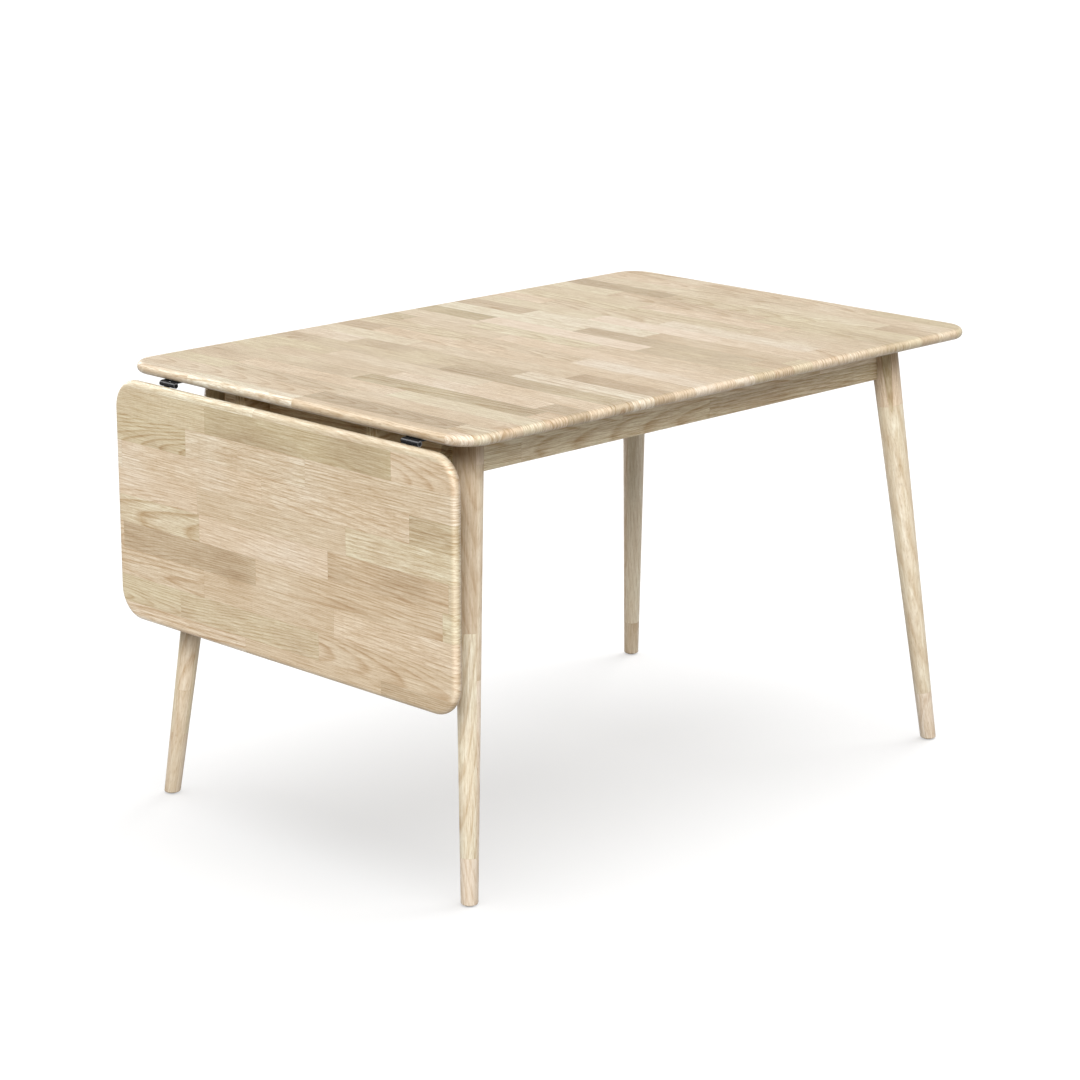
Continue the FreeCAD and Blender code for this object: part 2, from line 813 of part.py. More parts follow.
def support_slide(side):
    middle_y = bearer_y(side)
    body = new("PartDesign::Body", f"slide body {side}")
    pad = slab(body, "size.slide_length", "size.slide_width", "size.slide_thickness")
    nose = upright_edges(pad.Shape, lambda middle: middle.x < 0)
    dress(body, "Fillet", pad, nose, Radius="size.slide_nose")
    place(body, f"{slide_front_x} + size.slide_length / 2", middle_y, slide_low_z)
    pull_hole = rod(
        f"pull hole {side}",
        (f"{slide_front_x} + size.pull_hole_inset", middle_y, slide_low_z),
        TURNS["z"],
        "size.pull_hole_radius",
        "size.slide_thickness",
    )
    stop_hole = stop_pin(f"stop pin hole {side}", side, "size.pin_fit")
    sub_part(cut(f"support_slide_{side}", body, [pull_hole, stop_hole]))
    sub_part(stop_pin(f"slide_stop_pin_{side}", side))


for side in SIDES:
    bearer(side)
    support_slide(side)


# Every object is tested before anything is written

doc.recompute()
failed = [thing.Label for thing in doc.Objects if {"Invalid", "Error"} & set(thing.State)]
for node, (thing, solids) in sub_parts.items():
    shape = thing.Shape
    if shape.isNull() or not shape.isValid() or len(shape.Solids) != solids:
        failed.append(f"{node} with {len(shape.Solids)} solids of {solids}")
if failed:
    raise RuntimeError(f"these came out wrong: {failed}")

os.makedirs("parts", exist_ok=True)
for node, (thing, solids) in sub_parts.items():
    thing.Shape.exportStep(f"parts/{node}.step")
print(f"{len(sub_parts)} sub-parts written")
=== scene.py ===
import math
from collections import namedtuple

import bmesh
import bpy
from mathutils import Matrix, Vector


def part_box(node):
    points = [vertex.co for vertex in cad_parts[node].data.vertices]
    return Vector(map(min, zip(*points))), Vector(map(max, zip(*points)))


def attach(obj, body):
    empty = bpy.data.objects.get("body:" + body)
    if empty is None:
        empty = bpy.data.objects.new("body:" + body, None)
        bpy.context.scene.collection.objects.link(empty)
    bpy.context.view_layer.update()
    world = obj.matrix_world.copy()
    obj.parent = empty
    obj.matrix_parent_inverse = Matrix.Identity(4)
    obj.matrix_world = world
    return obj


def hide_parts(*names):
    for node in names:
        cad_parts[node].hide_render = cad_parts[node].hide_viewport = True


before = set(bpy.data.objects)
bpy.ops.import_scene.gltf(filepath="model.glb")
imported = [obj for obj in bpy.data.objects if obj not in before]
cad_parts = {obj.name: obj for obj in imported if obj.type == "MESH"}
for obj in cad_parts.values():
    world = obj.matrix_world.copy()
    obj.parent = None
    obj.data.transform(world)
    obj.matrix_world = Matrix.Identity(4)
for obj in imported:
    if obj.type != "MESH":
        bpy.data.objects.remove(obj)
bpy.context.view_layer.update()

# Drop-leaf table in pale soaped oak, in metres. X runs along the table with the leaf at its low end.

CORNER_RADIUS = 0.050
CORNER_SEGMENTS = 20
EDGE_FLAT = 0.0002
EDGE_SEGMENTS = 8

LEG_SPLAY = 0.072
LEG_TOP_RADIUS = 0.024
LEG_FOOT_RADIUS = 0.0135
LEG_SEGMENTS = 72
LEG_OVERRUN = 0.05
FOOT_ROUND = 0.0025
FOOT_SEGMENTS = 4
GLIDE_RADIUS = 0.008

ENDS = {"leaf": -1, "far": 1}
SIDES = {"front": -1, "rear": 1}
AXES = "xyz"
MILLIMETRES = 1000


# Shader sockets that take part in arithmetic


class Wire:
    """A socket in a material. Arithmetic on wires and numbers adds Math nodes."""

    def __init__(self, tree, socket=None):
        self.tree = tree
        self.socket = socket

    def node(self, kind, settings=None, inputs=None, output=0):
        """Adds a node, makes its settings, fills its sockets and gives one of its outputs."""
        made = self.tree.nodes.new(kind)
        for name, value in (settings or {}).items():
            if name == "stops":
                while len(made.color_ramp.elements) < len(value):
                    made.color_ramp.elements.new(1)
                for stop, (position, colour) in zip(made.color_ramp.elements, value):
                    stop.position = position
                    stop.color = (*colour, 1)
            else:
                setattr(made, name, value)
        for name, value in (inputs or {}).items():
            if isinstance(value, Wire):
                self.tree.links.new(value.socket, made.inputs[name])
            else:
                made.inputs[name].default_value = value
        return Wire(self.tree, made.outputs[output] if made.outputs else None)

    def beside(self, output):
        """Another output of the same node."""
        return Wire(self.tree, self.socket.node.outputs[output])

    def maths(self, operation, *others):
        return self.node("ShaderNodeMath", {"operation": operation}, dict(enumerate((self, *others))))

    def __add__(self, other):
        return self.maths("ADD", other)

    def __sub__(self, other):
        return self.maths("SUBTRACT", other)

    def __rsub__(self, other):
        return self.node("ShaderNodeMath", {"operation": "SUBTRACT"}, {0: other, 1: self})

    def __mul__(self, other):
        return self.maths("MULTIPLY", other)

    def __truediv__(self, other):
        return self.maths("DIVIDE", other)

    __radd__ = __add__
    __rmul__ = __mul__

    def floor(self):
        return self.maths("FLOOR")

    def fraction(self):
        return self.maths("FRACT")

    def root(self):
        return self.maths("SQRT")

    def step(self, low, high):
        """0 below low, 1 above high and a smooth rise between them."""
        limits = {"Value": self, "From Min": low, "From Max": high}
        return self.node("ShaderNodeMapRange", {"interpolation_type": "SMOOTHSTEP"}, limits)

    def ramp(self, stops):
        return self.node("ShaderNodeValToRGB", {"stops": stops}, {"Fac": self})

    def split(self):
        parts = self.node("ShaderNodeSeparateXYZ", inputs={0: self})
        return [parts.beside(name) for name in "XYZ"]


def vector(x, y, z):
    return x.node("ShaderNodeCombineXYZ", inputs={0: x, 1: y, 2: z})


def noise(place, detail=2.0, roughness=0.5):
    """Soft noise about 0, in the range from about -0.5 to 0.5."""
    settings = {"noise_dimensions": "3D"}
    inputs = {"Vector": place, "Scale": 1.0, "Detail": detail, "Roughness": roughness}
    return place.node("ShaderNodeTexNoise", settings, inputs) - 0.5


def drawn_noise(place, lengths, shift=None, detail=2.0, roughness=0.5):
    """Noise drawn out to its own length on each axis. A shift moves it along the second one."""
    first, second, third = (part / length for part, length in zip(place, lengths))
    if shift is not None:
        second = second + shift
    return noise(vector(first, second, third), detail, roughness)


def mix(share, first, second, blend_type="MIX"):
    wire = next(value for value in (share, first, second) if isinstance(value, Wire))
    settings = {"data_type": "RGBA", "blend_type": blend_type}
    return wire.node("ShaderNodeMix", settings, {0: share, 6: first, 7: second}, 2)


def tinted(colour, share, tint):
    return mix(share, colour, tint, "MULTIPLY")


def new_material(name):
    material = bpy.data.materials.new(name)
    material.use_nodes = True
    material.node_tree.nodes.clear()
    return material, Wire(material.node_tree)


def surface(wire, **inputs):
    """The shader of a material. Names of its sockets are written with underscores."""
    sockets = {name.replace("_", " "): value for name, value in inputs.items()}
    shader = wire.node("ShaderNodeBsdfPrincipled", inputs=sockets)
    wire.node("ShaderNodeOutputMaterial", inputs={"Surface": shader})


def bump(height, strength, distance):
    inputs = {"Height": height, "Strength": strength, "Distance": distance}
    return height.node("ShaderNodeBump", inputs=inputs)


def object_millimetres(wire):
    place = wire.node("ShaderNodeTexCoord", output="Object")
    return [part * MILLIMETRES for part in place.split()]


# Colours of the oak

WHITE = (1, 1, 1, 1)
OAK_TONES = [
    (0.00, (0.605, 0.505, 0.360)),
    (0.30, (0.795, 0.698, 0.535)),
    (0.50, (0.865, 0.775, 0.620)),
    (0.70, (0.920, 0.842, 0.708)),
    (1.00, (0.990, 0.935, 0.835)),
]
OAK_HUES = [(0.0, (1.02, 0.987, 0.968)), (0.5, (1.0, 1.0, 1.0)), (1.0, (0.972, 1.003, 0.94))]
STREAK_TINT = (0.74, 0.655, 0.55, 1)
RING_TINT = (0.70, 0.58, 0.45, 1)
PORE_TINT = (0.62, 0.52, 0.41, 1)
RAY_TINT = (1.12, 1.13, 1.15, 1)
JOINT_TINT = (0.70, 0.60, 0.48, 1)
# Painted highlight on the shoulder of a round edge, by the board's face
PAINTED_HIGHLIGHT_TINT = (1.18, 1.20, 1.25, 1)
# Painted shade on the half of a round edge away from the board's face
PAINTED_SHADE_TINT = (0.80, 0.80, 0.81, 1)
LEG_SHADE = (0.98, 0.995, 1.045, 1)

# Staves of each kind of piece, in millimetres, and how far their tones differ

Staves = namedtuple("Staves", "width length row_shift first")
TOP_STAVES = Staves(width=47, length=330, row_shift=0.0, first=66)
LEAF_STAVES = Staves(width=45, length=330, row_shift=0.36, first=39)
RAIL_STAVES = Staves(width=36, length=420, row_shift=0.06, first=0)
BEARER_STAVES = Staves(width=400, length=900, row_shift=0.5, first=0)
LEG_STAVES = Staves(width=34, length=420, row_shift=0.35, first=0)
STAVE_UNEVENNESS = 0.75
ROW_OFFSET = 7.37
LOGS_APART = 900
TOP_SPREAD = 0.62
LEAF_SPREAD = 0.46
PLAIN_SPREAD = 0.42
PATCH_SPREAD = 0.7
RAIL_FIGURE = 1.3
LEG_FIGURE = 0.7

# Year rings of the log that a stave is cut from, in millimetres and radians

Cut = namedtuple("Cut", "angle depth lean lift spacing chance own")
TURN_POWER = 0.7
WIDEST_TURN = 1.4
HEART_NEAREST = 28
HEART_RANGE = 55
BOARD_CELL = 100
RIM_DEPTH = 0.12
LEAN_SLOPE = 0.05
LIFT_SLOPE = 0.14
WAVE_WIDTH = 60
WAVE_LENGTH = 260
WAVE_ASIDE = 14
WAVE_DOWN = 4
RING_NARROWEST = 2.4
RING_RANGE = 3.2
RING_STOPS = [(0.0, (0.0,) * 3), (0.5, (0.1,) * 3), (0.85, (1.0,) * 3), (1.0, (0.0,) * 3)]
FLAT_SAWN_TURNS = (0.3, 0.9)
QUARTERED_TURNS = (1.1, 1.35)

# Grain: lengths across, along and through a stave in millimetres, then how strongly each part shows

FINE_STREAKS = (0.9, 26, 8)
BROAD_STREAKS = (2.8, 90, 18)
PORES = (0.5, 9, 1.5)
RAYS = (8, 2, 8)
PATCHES = (80, 150, 80)
STREAK_RAGGEDNESS = 0.6
PORE_EDGE = (0.06, 0.2)
RAY_EDGE = (0.08, 0.2)
JOINT_EDGE = (0.1, 0.5)
FINE_SHARE = 0.5
FINE_STRENGTH = 3.2
FINE_LEAST = 0.6
FINE_RANGE = 0.8
BROAD_SHARE = 0.35
BROAD_STRENGTH = 2.2
RING_LEAST = 0.4
RING_LIFT = 0.4
RING_FLAT_SAWN = 0.35
RING_BREAK_LEAST = 0.8
RING_BREAK_RANGE = 1.6
PORE_SHARE = 0.4
RAY_SHARE = 0.7
JOINT_SHARE = 0.35

# Polish and relief of the oak

OAK_SPECULAR = 0.4
OAK_ROUGHNESS = 0.45
PORE_ROUGHNESS = 0.14
RING_ROUGHNESS = 0.05
FINE_ROUGHNESS = 0.12
PORE_DEPTH = 0.6
RING_DEPTH = 0.2
JOINT_DEPTH = 0.4
FINE_DEPTH = 0.5
OAK_BUMP = 0.3
OAK_RELIEF = 0.0003

# Bands over the round edge of a board that carry its painted highlight and painted shade, from -1 at its
# lower face to 1 at its upper face

SHOULDER_START = (0.15, 0.7)
SHOULDER_END = (0.75, 1.0)
PAINTED_SHADE_START = (-1.0, -0.85)
PAINTED_SHADE_END = (-0.3, 0.4)


def stave_cells(place, feature, output):
    """Staves of uneven length laid end to end along one line."""
    settings = {"voronoi_dimensions": "1D", "feature": feature}
    inputs = {"W": place, "Scale": 1.0, "Randomness": STAVE_UNEVENNESS}
    return place.node("ShaderNodeTexVoronoi", settings, inputs, output)


def laid_staves(place, staves):
    """How each stave is cut from its log, the way off its middle line, and the glue joints."""
    across, along = place[:2]
    rows = across / staves.width + staves.row_shift
    line = along / staves.length + rows.floor() * ROW_OFFSET + staves.first
    stave = stave_cells(line, "F1", "Color")
    more = stave.node("ShaderNodeTexWhiteNoise", {"noise_dimensions": "3D"}, {"Vector": stave}, "Color")
    turn, depth, lean = stave.split()
    chance, lift, spacing = more.split()
    angle = turn.maths("POWER", TURN_POWER) * WIDEST_TURN
    cut = Cut(angle, depth, lean, lift, spacing, chance, chance * LOGS_APART)
    off_middle = rows.fraction() - 0.5
    row_gap = (0.5 - off_middle.maths("ABSOLUTE")) * staves.width
    end_gap = stave_cells(line, "DISTANCE_TO_EDGE", "Distance") * staves.length
    joint = 1 - row_gap.maths("MINIMUM", end_gap).step(*JOINT_EDGE)
    return cut, off_middle * staves.width, joint


def year_rings(place, off_middle, cut):
    """The heart of the log lies off the stave by a turn and a distance, and leans along it."""
    across, along, deep = place
    distance = HEART_NEAREST + HEART_RANGE * cut.depth
    # Depth counts within one cell and only in part, so that the figure runs on over a round edge
    below = ((deep / BOARD_CELL + 0.5).fraction() - 0.5) * (BOARD_CELL * RIM_DEPTH)
    wave = noise(vector(across / WAVE_WIDTH + cut.own, along / WAVE_LENGTH, deep / WAVE_WIDTH))
    leaning = along * (cut.lean - 0.5) * LEAN_SLOPE
    lifting = along * (cut.lift - 0.5) * LIFT_SLOPE
    aside = off_middle + distance * cut.angle.maths("SINE") + leaning + wave * WAVE_ASIDE
    down = below + distance * cut.angle.maths("COSINE") + lifting + wave * WAVE_DOWN
    radius = (aside * aside + down * down).root()
    return (radius / (RING_NARROWEST + RING_RANGE * cut.spacing)).fraction().ramp(RING_STOPS)


def oak(wire, place, staves, figure=1.0, spread=PLAIN_SPREAD, shade=WHITE, painted_highlight=0.0):
    """Staves glued side by side and end to end. Each has its own tone, rings, streaks, pores and rays."""
    cut, off_middle, joint = laid_staves(place, staves)
    ring = year_rings(place, off_middle, cut)
    fine = drawn_noise(place, FINE_STREAKS, cut.own, 2, STREAK_RAGGEDNESS)
    broad = drawn_noise(place, BROAD_STREAKS, cut.own, 3, STREAK_RAGGEDNESS)
    pores = drawn_noise(place, PORES, cut.own, 1).step(*PORE_EDGE)
    rays = drawn_noise(place, RAYS).step(*RAY_EDGE) * cut.angle.step(*QUARTERED_TURNS)
    patches = drawn_noise(place, PATCHES)
    flat_sawn = 1 - cut.angle.step(*FLAT_SAWN_TURNS)

    tone = 0.5 + spread * (cut.chance + cut.depth - 1) + patches * PATCH_SPREAD
    fine_strength = (FINE_LEAST + FINE_RANGE * cut.spacing) * (FINE_STRENGTH * figure)
    ring_strength = RING_LEAST + RING_LIFT * cut.lift + RING_FLAT_SAWN * flat_sawn
    ring_share = ring * ring_strength * (RING_BREAK_LEAST + broad * RING_BREAK_RANGE) * figure
    colour = tinted(tone.ramp(OAK_TONES), 1.0, (cut.lean + patches).ramp(OAK_HUES))
    colour = tinted(colour, FINE_SHARE + fine * fine_strength, STREAK_TINT)
    colour = tinted(colour, BROAD_SHARE + broad * (BROAD_STRENGTH * figure), STREAK_TINT)
    colour = tinted(colour, ring_share, RING_TINT)
    colour = tinted(colour, pores * PORE_SHARE, PORE_TINT)
    colour = tinted(colour, rays * RAY_SHARE, RAY_TINT)
    colour = tinted(colour, joint * JOINT_SHARE, JOINT_TINT)
    # Painted shade on a board's round edge, or the legs' own tint
    colour = tinted(colour, 1.0, shade)
    # Painted highlight on the shoulder of a round edge
    colour = tinted(colour, painted_highlight, PAINTED_HIGHLIGHT_TINT)

    roughness = OAK_ROUGHNESS + pores * PORE_ROUGHNESS + ring * RING_ROUGHNESS + fine * FINE_ROUGHNESS
    height = 1 - pores * PORE_DEPTH - ring * RING_DEPTH - joint * JOINT_DEPTH + fine * FINE_DEPTH
    relief = bump(height, OAK_BUMP, OAK_RELIEF)
    surface(wire, Base_Color=colour, Roughness=roughness, Specular_IOR_Level=OAK_SPECULAR, Normal=relief)


def oak_place(wire, lie):
    """Lie names the axes across, along and through the staves."""
    places = dict(zip(AXES, object_millimetres(wire)))
    return [places[axis] for axis in lie]


def board_oak(name, node, lie, face, staves, spread):
    """Oak of a board with a full round edge, paler with a painted highlight on the shoulder by its face
    and darker with painted shade on the half away from its face.
    """
    material, wire = new_material(name)
    place = oak_place(wire, lie)
    low, high = (corner[AXES.index(lie[2])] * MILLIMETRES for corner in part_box(node))
    rise = (place[2] - (low + high) / 2) * (face * 2 / (high - low))
    # Painted highlight on the shoulder next to the face
    shoulder_highlight = rise.step(*SHOULDER_START) * (1 - rise.step(*SHOULDER_END))
    # Painted shade on the half of the round edge away from the face
    painted_shade_band = (1 - rise.step(*PAINTED_SHADE_END)) * rise.step(*PAINTED_SHADE_START)
    shade = mix(painted_shade_band, WHITE, PAINTED_SHADE_TINT)
    oak(wire, place, staves, spread=spread, shade=shade, painted_highlight=shoulder_highlight)
    return material


def rail_oak(name, lie, staves):
    material, wire = new_material(name)
    oak(wire, oak_place(wire, lie), staves, figure=RAIL_FIGURE)
    return material


def leg_oak():
    """Oak that follows the leaning legs by their own grain attribute."""
    material, wire = new_material("leg_oak")
    place = wire.node("ShaderNodeAttribute", {"attribute_name": "grain"}, output="Vector")
    across, deep, along = (part * MILLIMETRES for part in place.split())
    oak(wire, (across, along, deep), LEG_STAVES, figure=LEG_FIGURE, shade=LEG_SHADE)
    return material


top_oak = board_oak("top_oak", "table_top", "xyz", 1, TOP_STAVES, TOP_SPREAD)
leaf_oak = board_oak("leaf_oak", "drop_leaf", "zyx", -1, LEAF_STAVES, LEAF_SPREAD)
long_rail_oak = rail_oak("long_rail_oak", "zxy", RAIL_STAVES)
end_rail_oak = rail_oak("end_rail_oak", "zyx", RAIL_STAVES)
bearer_oak = rail_oak("bearer_oak", "yxz", BEARER_STAVES)
turned_oak = leg_oak()


# Black hinges: marks in millimetres, and painted highlight bands by the distance from the pin and the
# height over it

HINGE_PAINT = (0.010, 0.010, 0.011, 1)
HINGE_RUBBED = (0.07, 0.07, 0.075, 1)
# Painted highlight colour for the barrels
HINGE_HIGHLIGHT = (0.27, 0.27, 0.28, 1)
HINGE_SPECKS = (0.8, 0.8, 0.8)
HINGE_RUBS = (6, 6, 6)
HINGE_RUB_EDGE = (0.12, 0.3)
HINGE_RUB_SHARE = 0.5
BARREL_EDGE = (4.6, 4.8)
TOP_LINE_START = (2.0, 2.7)
TOP_LINE_END = (3.1, 3.9)
END_RING_START = (3.3, 3.7)
END_RING_END = (4.40, 4.48)
HIGHLIGHT_SHARE = 0.7
HIGHLIGHT_SPECKS = 0.8
HINGE_SPECULAR = 0.2
HINGE_ROUGHNESS = 0.5
SPECK_ROUGHNESS = 0.2
HINGE_BUMP = 0.2
FINE_RELIEF = 0.0001


def black_steel():
    """Satin black paint, rubbed thin in places, with a painted highlight on the upper part and the ends of
    the barrels.
    """
    material, wire = new_material("black_hinge_steel")
    place = object_millimetres(wire)
    low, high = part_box("hinge_pin_front")
    pin = (low + high) / 2 * MILLIMETRES
    aside = place[0] - pin.x
    above = place[2] - pin.z
    radius = (aside * aside + above * above).root()
    specks = drawn_noise(place, HINGE_SPECKS, detail=3)
    rubs = drawn_noise(place, HINGE_RUBS, detail=4).step(*HINGE_RUB_EDGE)
    # Painted highlight in a band on the upper part of each barrel and in a ring round its ends
    barrel = 1 - radius.step(*BARREL_EDGE)
    top_line = above.step(*TOP_LINE_START) * (1 - above.step(*TOP_LINE_END)) * barrel
    end_ring = radius.step(*END_RING_START) * (1 - radius.step(*END_RING_END))
    barrel_highlight = top_line.maths("MAXIMUM", end_ring) * (HIGHLIGHT_SHARE + specks * HIGHLIGHT_SPECKS)
    paint = mix(rubs * HINGE_RUB_SHARE, HINGE_PAINT, HINGE_RUBBED)
    colour = mix(barrel_highlight, paint, HINGE_HIGHLIGHT)
    roughness = HINGE_ROUGHNESS + specks * SPECK_ROUGHNESS
    relief = bump(specks, HINGE_BUMP, FINE_RELIEF)
    surface(wire, Base_Color=colour, Roughness=roughness, Specular_IOR_Level=HINGE_SPECULAR, Normal=relief)
    return material


# Zinc plate and plastic glides, with their marks in millimetres

ZINC_DULL = (0.50, 0.51, 0.52, 1)
ZINC_BRIGHT = (0.68, 0.68, 0.67, 1)
ZINC_LINES = (12, 0.4, 0.4)
ZINC_CLOUDS = (14, 14, 14)
ZINC_ROUGHNESS = 0.34
LINE_ROUGHNESS = 0.2
CLOUD_ROUGHNESS = 0.1
ZINC_BUMP = 0.15

GLIDE_DARK = (0.66, 0.64, 0.60, 1)
GLIDE_PALE = (0.80, 0.78, 0.74, 1)
GLIDE_GRIT = (0.7, 0.7, 0.7)
GLIDE_SCUFFS = (3, 3, 3)
GLIDE_ROUGHNESS = 0.55
GRIT_ROUGHNESS = 0.2
GLIDE_BUMP = 0.2


def zinc_steel():
    """Bright zinc plate with a fine brushed line."""
    material, wire = new_material("zinc_steel")
    place = object_millimetres(wire)
    lines = drawn_noise(place, ZINC_LINES, detail=3)
    clouds = drawn_noise(place, ZINC_CLOUDS, detail=3)
    colour = mix(clouds + 0.5, ZINC_DULL, ZINC_BRIGHT)
    roughness = ZINC_ROUGHNESS + lines * LINE_ROUGHNESS + clouds * CLOUD_ROUGHNESS
    relief = bump(lines, ZINC_BUMP, FINE_RELIEF)
    surface(wire, Base_Color=colour, Roughness=roughness, Metallic=1.0, Normal=relief)
    return material


def glide_plastic():
    """Pale matt plastic, scuffed by the floor."""
    material, wire = new_material("glide_plastic")
    place = object_millimetres(wire)
    grit = drawn_noise(place, GLIDE_GRIT)
    scuffs = drawn_noise(place, GLIDE_SCUFFS, detail=3)
    colour = mix(scuffs + 0.5, GLIDE_DARK, GLIDE_PALE)
    roughness = GLIDE_ROUGHNESS + grit * GRIT_ROUGHNESS
    relief = bump(grit, GLIDE_BUMP, FINE_RELIEF)
    surface(wire, Base_Color=colour, Roughness=roughness, Normal=relief)
    return material


black_hinge_steel = black_steel()
zinc = zinc_steel()
plastic = glide_plastic()


# Boards with rounded corners and a full round edge


def finished(name, shape, material, body, node):
    """Turns a shape into a piece that rides on a body and stands for a CAD node."""
    bmesh.ops.recalc_face_normals(shape, faces=shape.faces)
    mesh = bpy.data.meshes.new(name)
    shape.to_mesh(mesh)
    shape.free()
    mesh.materials.append(material)
    piece = bpy.data.objects.new(name, mesh)
    bpy.context.scene.collection.objects.link(piece)
    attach(piece, body)
    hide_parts(node)


def rounded(shape, edges, radius, segments):
    bmesh.ops.bevel(
        shape,
        geom=edges,
        offset=radius,
        offset_type="OFFSET",
        affect="EDGES",
        segments=segments,
        profile=0.5,
        material=-1,
    )


def board(name, node, material, body, thin):
    """Thin is the number of the axis through the board."""
    low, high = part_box(node)
    span = high - low
    shape = bmesh.new()
    bmesh.ops.create_cube(shape, size=1.0)
    bmesh.ops.scale(shape, vec=span, verts=shape.verts)
    bmesh.ops.translate(shape, vec=(low + high) / 2, verts=shape.verts)

    def upright(edge):
        return abs(edge.verts[0].co[thin] - edge.verts[1].co[thin]) > span[thin] / 2

    rounded(shape, [edge for edge in shape.edges if upright(edge)], CORNER_RADIUS, CORNER_SEGMENTS)
    rim = [edge for edge in shape.edges if not upright(edge)]
    rounded(shape, rim, (span[thin] - EDGE_FLAT) / 2, EDGE_SEGMENTS)
    wide_area = span.x * span.y * span.z / span[thin]
    for face in shape.faces:
        face.smooth = face.calc_area() < wide_area / 2
    finished(name, shape, material, body, node)


board("top_board", "table_top", top_oak, "frame", 2)
board("leaf_board", "drop_leaf", leaf_oak, "leaf", 0)


# Turned legs, cut level at both ends. Each takes its grain from its own stretch of a log.

GRAIN_STEP_ENDS = 2.3
GRAIN_STEP_SIDES = 5.9


def level_cut(shape, height, normal):
    """Cuts off what lies past a level plane, closes the cut and gives the edges round it."""
    everything = shape.verts[:] + shape.edges[:] + shape.faces[:]
    place = (0, 0, height)
    cut = bmesh.ops.bisect_plane(shape, geom=everything, plane_co=place, plane_no=normal, clear_outer=True)
    rim = [part for part in cut["geom_cut"] if isinstance(part, bmesh.types.BMEdge)]
    bmesh.ops.contextual_create(shape, geom=rim)
    return rim


def foot_middle(end, side):
    """The middle of the glide under a leg, on the floor."""
    low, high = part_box("foot_glides")
    middle = (low + high) / 2
    reach = (high - low) / 2
    x = middle.x + ENDS[end] * (reach.x - GLIDE_RADIUS)
    y = middle.y + SIDES[side] * (reach.y - GLIDE_RADIUS)
    return Vector((x, y, 0))


def leg(end, side):
    """A leaning cone that overruns both ends, cut level and eased round its foot."""
    node = f"leg_{end}_{side}"
    low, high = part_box(node)
    foot = foot_middle(end, side)
    head = foot + Vector((-ENDS[end] * LEG_SPLAY, -SIDES[side] * LEG_SPLAY, high.z))
    axis = head - foot
    taper = (LEG_TOP_RADIUS - LEG_FOOT_RADIUS) * LEG_OVERRUN / axis.length
    shape = bmesh.new()
    bmesh.ops.create_cone(
        shape,
        cap_ends=True,
        segments=LEG_SEGMENTS,
        radius1=LEG_FOOT_RADIUS - taper,
        radius2=LEG_TOP_RADIUS + taper,
        depth=axis.length + 2 * LEG_OVERRUN,
    )
    stand = Matrix.Translation((head + foot) / 2) @ axis.to_track_quat("Z", "Y").to_matrix().to_4x4()
    bmesh.ops.transform(shape, matrix=stand, verts=shape.verts)
    level_cut(shape, high.z, (0, 0, 1))
    sole = level_cut(shape, low.z, (0, 0, -1))
    rounded(shape, sole, FOOT_ROUND, FOOT_SEGMENTS)
    grain = shape.verts.layers.float_vector.new("grain")
    lay = stand.inverted()
    own_log = Vector((0, 0, GRAIN_STEP_ENDS * ENDS[end] + GRAIN_STEP_SIDES * SIDES[side]))
    for vert in shape.verts:
        vert[grain] = lay @ vert.co + own_log
    for face in shape.faces:
        face.smooth = len(face.verts) == 4
    finished(f"turned_leg_{end}_{side}", shape, turned_oak, "frame", node)


for end in ENDS:
    for side in SIDES:
        leg(end, side)


# CAD pieces get their finish by the start of their names, and zinc where none is given

FINISHES = [
    (("long_apron",), long_rail_oak),
    (("end_apron", "slide_guide_board", "cross_rail"), end_rail_oak),
    (("slide_bearer", "corner_block_leaf", "corner_block_far", "rail_dowels"), bearer_oak),
    (("leg", "table_top", "drop_leaf"), top_oak),
    (("hinge",), black_hinge_steel),
    (("foot_glides",), plastic),
]

for name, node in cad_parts.items():
    finish = next((finish for starts, finish in FINISHES if name.startswith(starts)), zinc)
    for slot in node.material_slots:
        slot.material = finish


# Studio: pale floor, soft light and the camera at the photo's angle

FLOOR_SIZE = 40.0
FLOOR_TONE = (0.5, 0.5, 0.5, 1)
FLOOR_BOUNCE = (0.34, 0.34, 0.34, 1)
FLOOR_GLOW = 0.545
SKY_LIGHT = 0.33
CAMERA_PLACE = (-3.6136, -3.5772, 1.7648)
CAMERA_TILT = math.radians(75)
CAMERA_TURN = math.radians(-45)
CAMERA_LENS = 103.96
CAMERA_SENSOR = 36

# Azimuth, elevation and spread of each lamp in degrees, and its level

OBJECT_LAMPS = {
    "key": (225, 31, 26, 0.86),
    "overhead": (0, 90, 60, 0.015),
    "side_near_leaf": (165, 45, 26, 0.18),
    "side_away": (310, 20, 26, 0.16),
    "rear_fill": (78, 18, 26, 0.30),
}
FLOOR_LAMPS = {
    "floor_overhead": (0, 90, 60, 0.66),
    "floor_side": (0, 32, 50, 0.49),
}


def seen_rays(wire):
    """1 for rays from the camera, straight or by way of a mirror or glass, and 0 for light."""
    camera_rays = wire.node("ShaderNodeLightPath", output="Is Camera Ray")
    mirror_rays = camera_rays.beside("Is Glossy Ray")
    glass_rays = camera_rays.beside("Is Transmission Ray")
    return camera_rays.maths("MAXIMUM", mirror_rays.maths("MAXIMUM", glass_rays))


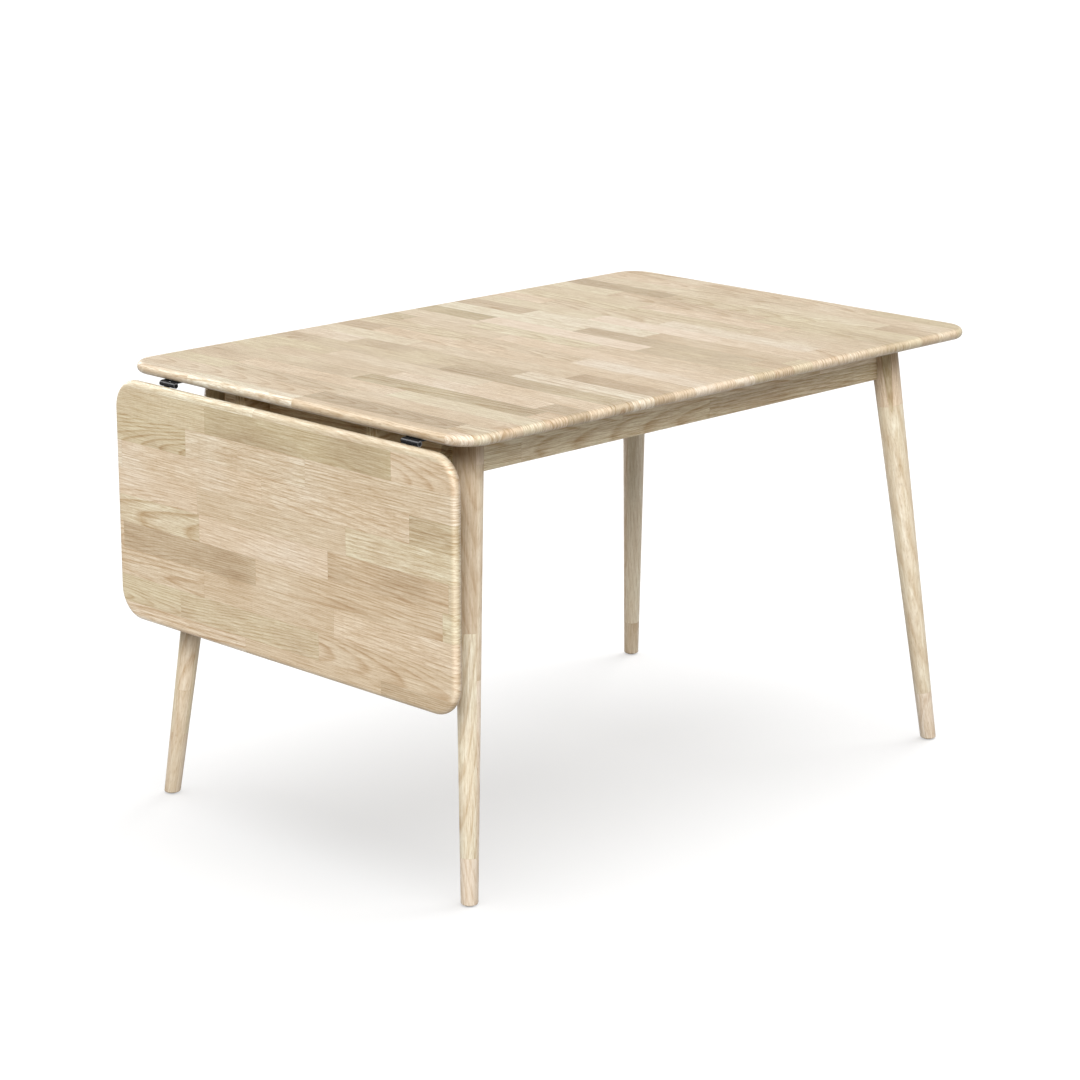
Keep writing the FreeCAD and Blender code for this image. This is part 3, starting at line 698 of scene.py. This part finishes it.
def pale_floor():
    """Its glow is seen but gives no light, so that it looks white and still shows the shadow."""
    shape = bmesh.new()
    bmesh.ops.create_grid(shape, x_segments=1, y_segments=1, size=FLOOR_SIZE / 2)
    mesh = bpy.data.meshes.new("floor")
    shape.to_mesh(mesh)
    shape.free()
    material, wire = new_material("pale_floor")
    bounce = wire.node("ShaderNodeBsdfDiffuse", inputs={"Color": FLOOR_BOUNCE})
    matt = wire.node("ShaderNodeBsdfDiffuse", inputs={"Color": FLOOR_TONE})
    glow = wire.node("ShaderNodeEmission", inputs={"Color": WHITE, "Strength": FLOOR_GLOW})
    shown = wire.node("ShaderNodeAddShader", inputs={0: matt, 1: glow})
    both = wire.node("ShaderNodeMixShader", inputs={0: seen_rays(wire), 1: bounce, 2: shown})
    wire.node("ShaderNodeOutputMaterial", inputs={"Surface": both})
    mesh.materials.append(material)
    floor = bpy.data.objects.new("floor", mesh)
    bpy.context.scene.collection.objects.link(floor)
    return floor


def soft_sky():
    """White to the camera, and dimmer as a light."""
    world = bpy.data.worlds.new("soft_sky")
    bpy.context.scene.world = world
    world.use_nodes = True
    world.node_tree.nodes.clear()
    wire = Wire(world.node_tree)
    dim = wire.node("ShaderNodeBackground", inputs={"Color": WHITE, "Strength": SKY_LIGHT})
    white = wire.node("ShaderNodeBackground", inputs={"Color": WHITE, "Strength": 1.0})
    sky = wire.node("ShaderNodeMixShader", inputs={0: seen_rays(wire), 1: dim, 2: white})
    wire.node("ShaderNodeOutputWorld", inputs={"Surface": sky})


def lamp(name, azimuth, elevation, spread, level, floor, lights_floor):
    """A wide soft lamp far away, which lights either the floor alone or everything else."""
    light = bpy.data.lights.new(name, "SUN")
    light.energy = level * math.pi
    light.angle = math.radians(spread)
    holder = bpy.data.objects.new(name, light)
    holder.rotation_euler = (math.radians(90 - elevation), 0, math.radians(azimuth + 90))
    bpy.context.scene.collection.objects.link(holder)
    lit = bpy.data.collections.new(f"{name}_lights")
    lit.objects.link(floor)
    lit.collection_objects[0].light_linking.link_state = "INCLUDE" if lights_floor else "EXCLUDE"
    holder.light_linking.receiver_collection = lit


def camera():
    lens = bpy.data.cameras.new("camera")
    lens.lens = CAMERA_LENS
    lens.sensor_width = CAMERA_SENSOR
    holder = bpy.data.objects.new("camera", lens)
    holder.location = CAMERA_PLACE
    holder.rotation_euler = (CAMERA_TILT, 0, CAMERA_TURN)
    bpy.context.scene.collection.objects.link(holder)
    bpy.context.scene.camera = holder


floor = pale_floor()
for name, settings in OBJECT_LAMPS.items():
    lamp(name, *settings, floor, False)
for name, settings in FLOOR_LAMPS.items():
    lamp(name, *settings, floor, True)
soft_sky()
camera()
bpy.context.scene.view_settings.view_transform = "Standard"
